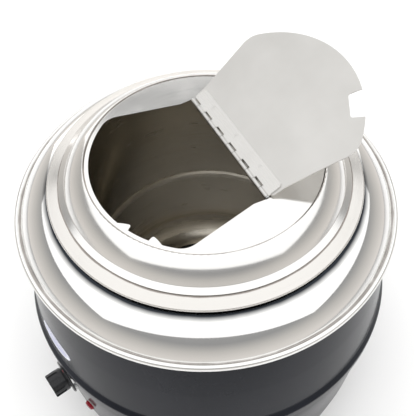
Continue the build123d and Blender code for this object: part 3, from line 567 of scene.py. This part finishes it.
# painted highlights: bright bands where light from the opening falls on the wall's step and its bend to the
# floor
spun_pot = painted_highlight_band(spun_pot, POT_STEP, 6.0 * MM, (0.92, 0.88, 0.80), 0.16)
spun_pot = painted_highlight_band(spun_pot, POT_CORNER, 9.0 * MM, (0.80, 0.76, 0.68), 0.12)
shade("soup_pot", lit_flange(spun_pot, (0.72, 0.70, 0.67)))
shade("water_bath", turned_metal(
    "spun_bath", (0.62, 0.61, 0.59), 0.26, 0.6 * MM, 0.002 * MM, 0.6))

lid_right = (math.cos(LID_TURN), math.sin(LID_TURN), 0.0)
lid_back = (-math.sin(LID_TURN), math.cos(LID_TURN), 0.0)
shade("lid_flap", brushed_sheet("satin_flap", (0.57, 0.56, 0.54), 0.34, lid_right, lid_back))
shade("hinge_leaf_flap hinge_leaf_lid", brushed_sheet(
    "hinge_strip", (0.60, 0.59, 0.57), 0.24, lid_right, lid_back))

shade("hinge_pin thermostat_shaft element_clamp clamp_stud clamp_nut base_screws foot_screws "
      "foot_nuts thermostat_bracket bracket_screws bulb_clip terminal_screws earth_stud earth_nut "
      "lid_knob_screw knob_washer",
      plated("zinc_plate", (0.66, 0.67, 0.68), 0.3))
shade("base_plate", plated("galvanised_base", (0.50, 0.51, 0.52), 0.42))
shade("heat_spreader", plated("cast_aluminium", (0.72, 0.72, 0.73), 0.5))
shade("heating_element", plated("element_sheath", (0.34, 0.32, 0.30), 0.45))
shade("sensing_bulb capillary_tube", plated("drawn_copper", (0.78, 0.42, 0.27), 0.28))

shade("control_knob dial_skirt lid_knob", moulded(
    "black_phenolic", (0.007, 0.008, 0.010), 0.2, grain_depth=0.003 * MM, gloss=0.4))
shade("pointer_mark", moulded("red_mark", (0.55, 0.03, 0.04), 0.4))
shade("foot_1 foot_2 foot_3 foot_4 gland_seal", moulded(
    "black_rubber", (0.022, 0.022, 0.022), 0.75, 0.9 * MM, 0.05 * MM))
shade("cable_gland gland_cap gland_locknut lamp_nut", moulded(
    "black_nylon", (0.025, 0.025, 0.026), 0.48))
shade("thermostat_body overheat_cutout", moulded("brown_phenolic", (0.10, 0.06, 0.035), 0.5))
shade("terminal_block lamp_barrel", moulded("white_nylon", (0.78, 0.78, 0.74), 0.45))
shade("live_wire switched_wire protected_wire", moulded(
    "brown_sleeve", (0.20, 0.09, 0.04), 0.5, 0.3 * MM))
shade("neutral_wire", moulded("blue_sleeve", (0.03, 0.11, 0.42), 0.5, 0.3 * MM))
shade("earth_wire", moulded("green_sleeve", (0.10, 0.42, 0.08), 0.5, 0.3 * MM))

shade("insulation_sleeve", fibre_mat("mineral_fibre", (0.80, 0.77, 0.66)))
shade("lamp_lens", glowing_lens("red_lens", (0.24, 0.003, 0.014)))
shade("badge", blank_badge("badge_film", (0.40, 0.42, 0.68), (0.80, 0.82, 0.93)))


# ---------------------------------------------------------------- floor, light and camera

FLOOR_HALF = 4.0                # half the side of the floor
PALE_SKY = (                    # how far up the light comes from (0 level, 1 overhead), and its colour
    (0.0, (0.80, 0.765, 0.73)),
    (0.3, (0.60, 0.58, 0.555)),
    (0.55, (0.36, 0.36, 0.36)),
    (0.95, (0.42, 0.42, 0.42)),
)
STRAIGHT_UP = 89.0              # a lamp higher than this looks straight down, and is turned by azimuth


def floor_and_light():
    """A pale floor, a soft graded world and three area lamps."""
    half = FLOOR_HALF
    mesh = bpy.data.meshes.new("floor")
    corners = [(-half, -half, 0), (half, -half, 0), (half, half, 0), (-half, half, 0)]
    mesh.from_pydata(corners, [], [(0, 1, 2, 3)])
    floor = bpy.data.objects.new("floor", mesh)
    scene.collection.objects.link(floor)
    paper = Tree("paper_floor")
    paper.set(Base_Color=(0.93, 0.93, 0.93), Roughness=0.9)
    mesh.materials.append(paper.material)

    world = bpy.data.worlds.new("studio")
    scene.world = world
    world.use_nodes = True
    tree = world.node_tree
    tree.nodes.clear()
    output = tree.nodes.new("ShaderNodeOutputWorld")
    background = tree.nodes.new("ShaderNodeBackground")
    ramp = tree.nodes.new("ShaderNodeValToRGB")
    split = tree.nodes.new("ShaderNodeSeparateXYZ")
    place = tree.nodes.new("ShaderNodeTexCoord")
    tree.links.new(place.outputs["Generated"], split.inputs[0])
    tree.links.new(split.outputs["Z"], ramp.inputs[0])
    tree.links.new(ramp.outputs[0], background.inputs[0])
    tree.links.new(background.outputs[0], output.inputs[0])
    while len(ramp.color_ramp.elements) < len(PALE_SKY):
        ramp.color_ramp.elements.new(0.5)
    for element, (place_on, colour) in zip(ramp.color_ramp.elements, PALE_SKY):
        element.position = place_on
        element.color = (*colour, 1.0)
    background.inputs[1].default_value = 1.0

    def softbox(name, aim, azimuth, elevation, distance, width, height, brightness, mirrored=True):
        data = bpy.data.lights.new(name, "AREA")
        data.shape = "RECTANGLE"
        data.size, data.size_y = width, height
        data.energy = brightness * math.pi * width * height
        lamp = bpy.data.objects.new(name, data)
        scene.collection.objects.link(lamp)
        back = sight(azimuth, elevation)
        lamp.location = Vector(aim) + back * distance
        lamp.rotation_mode = "QUATERNION"
        turn = (-back).to_track_quat("-Z", "Y")
        if elevation > STRAIGHT_UP:
            turn = Matrix.Rotation(math.radians(azimuth), 4, "Z").to_quaternion()
        lamp.rotation_quaternion = turn
        lamp.visible_glossy = mirrored

    rim = (0.0, 0.0, LIP_HEIGHT)
    softbox("overhead", rim, VIEW_AZIMUTH, 90.0, distance=1.2, width=3.6, height=2.5, brightness=0.92)
    softbox("back_wall", rim, VIEW_AZIMUTH + 180.0, 22.0,
            distance=2.2, width=3.6, height=1.3, brightness=0.85)
    softbox("table_fill", rim, VIEW_AZIMUTH, 80.0,
            distance=2.5, width=4.0, height=4.0, brightness=0.9, mirrored=False)


def sight(azimuth, elevation):
    """Unit vector towards a viewer: azimuth 0 stands in front (-Y) and 90 at +X."""
    a, e = math.radians(azimuth), math.radians(elevation)
    return Vector((math.sin(a) * math.cos(e), -math.cos(a) * math.cos(e), math.sin(e)))


def place_camera():
    """The camera that the main picture is taken with."""
    data = bpy.data.cameras.new("camera")
    data.lens, data.sensor_width = LENS, 36.0
    data.clip_start, data.clip_end = 0.02, 30.0
    camera = bpy.data.objects.new("camera", data)
    scene.collection.objects.link(camera)
    back = sight(VIEW_AZIMUTH, VIEW_ELEVATION)
    camera.location = VIEW_AIM + back * VIEW_DISTANCE
    camera.rotation_mode = "QUATERNION"
    upright = (-back).to_track_quat("-Z", "Y")
    camera.rotation_quaternion = upright @ Matrix.Rotation(VIEW_ROLL, 4, "Z").to_quaternion()
    scene.camera = camera


floor_and_light()
place_camera()
scene.view_settings.view_transform = "Standard"
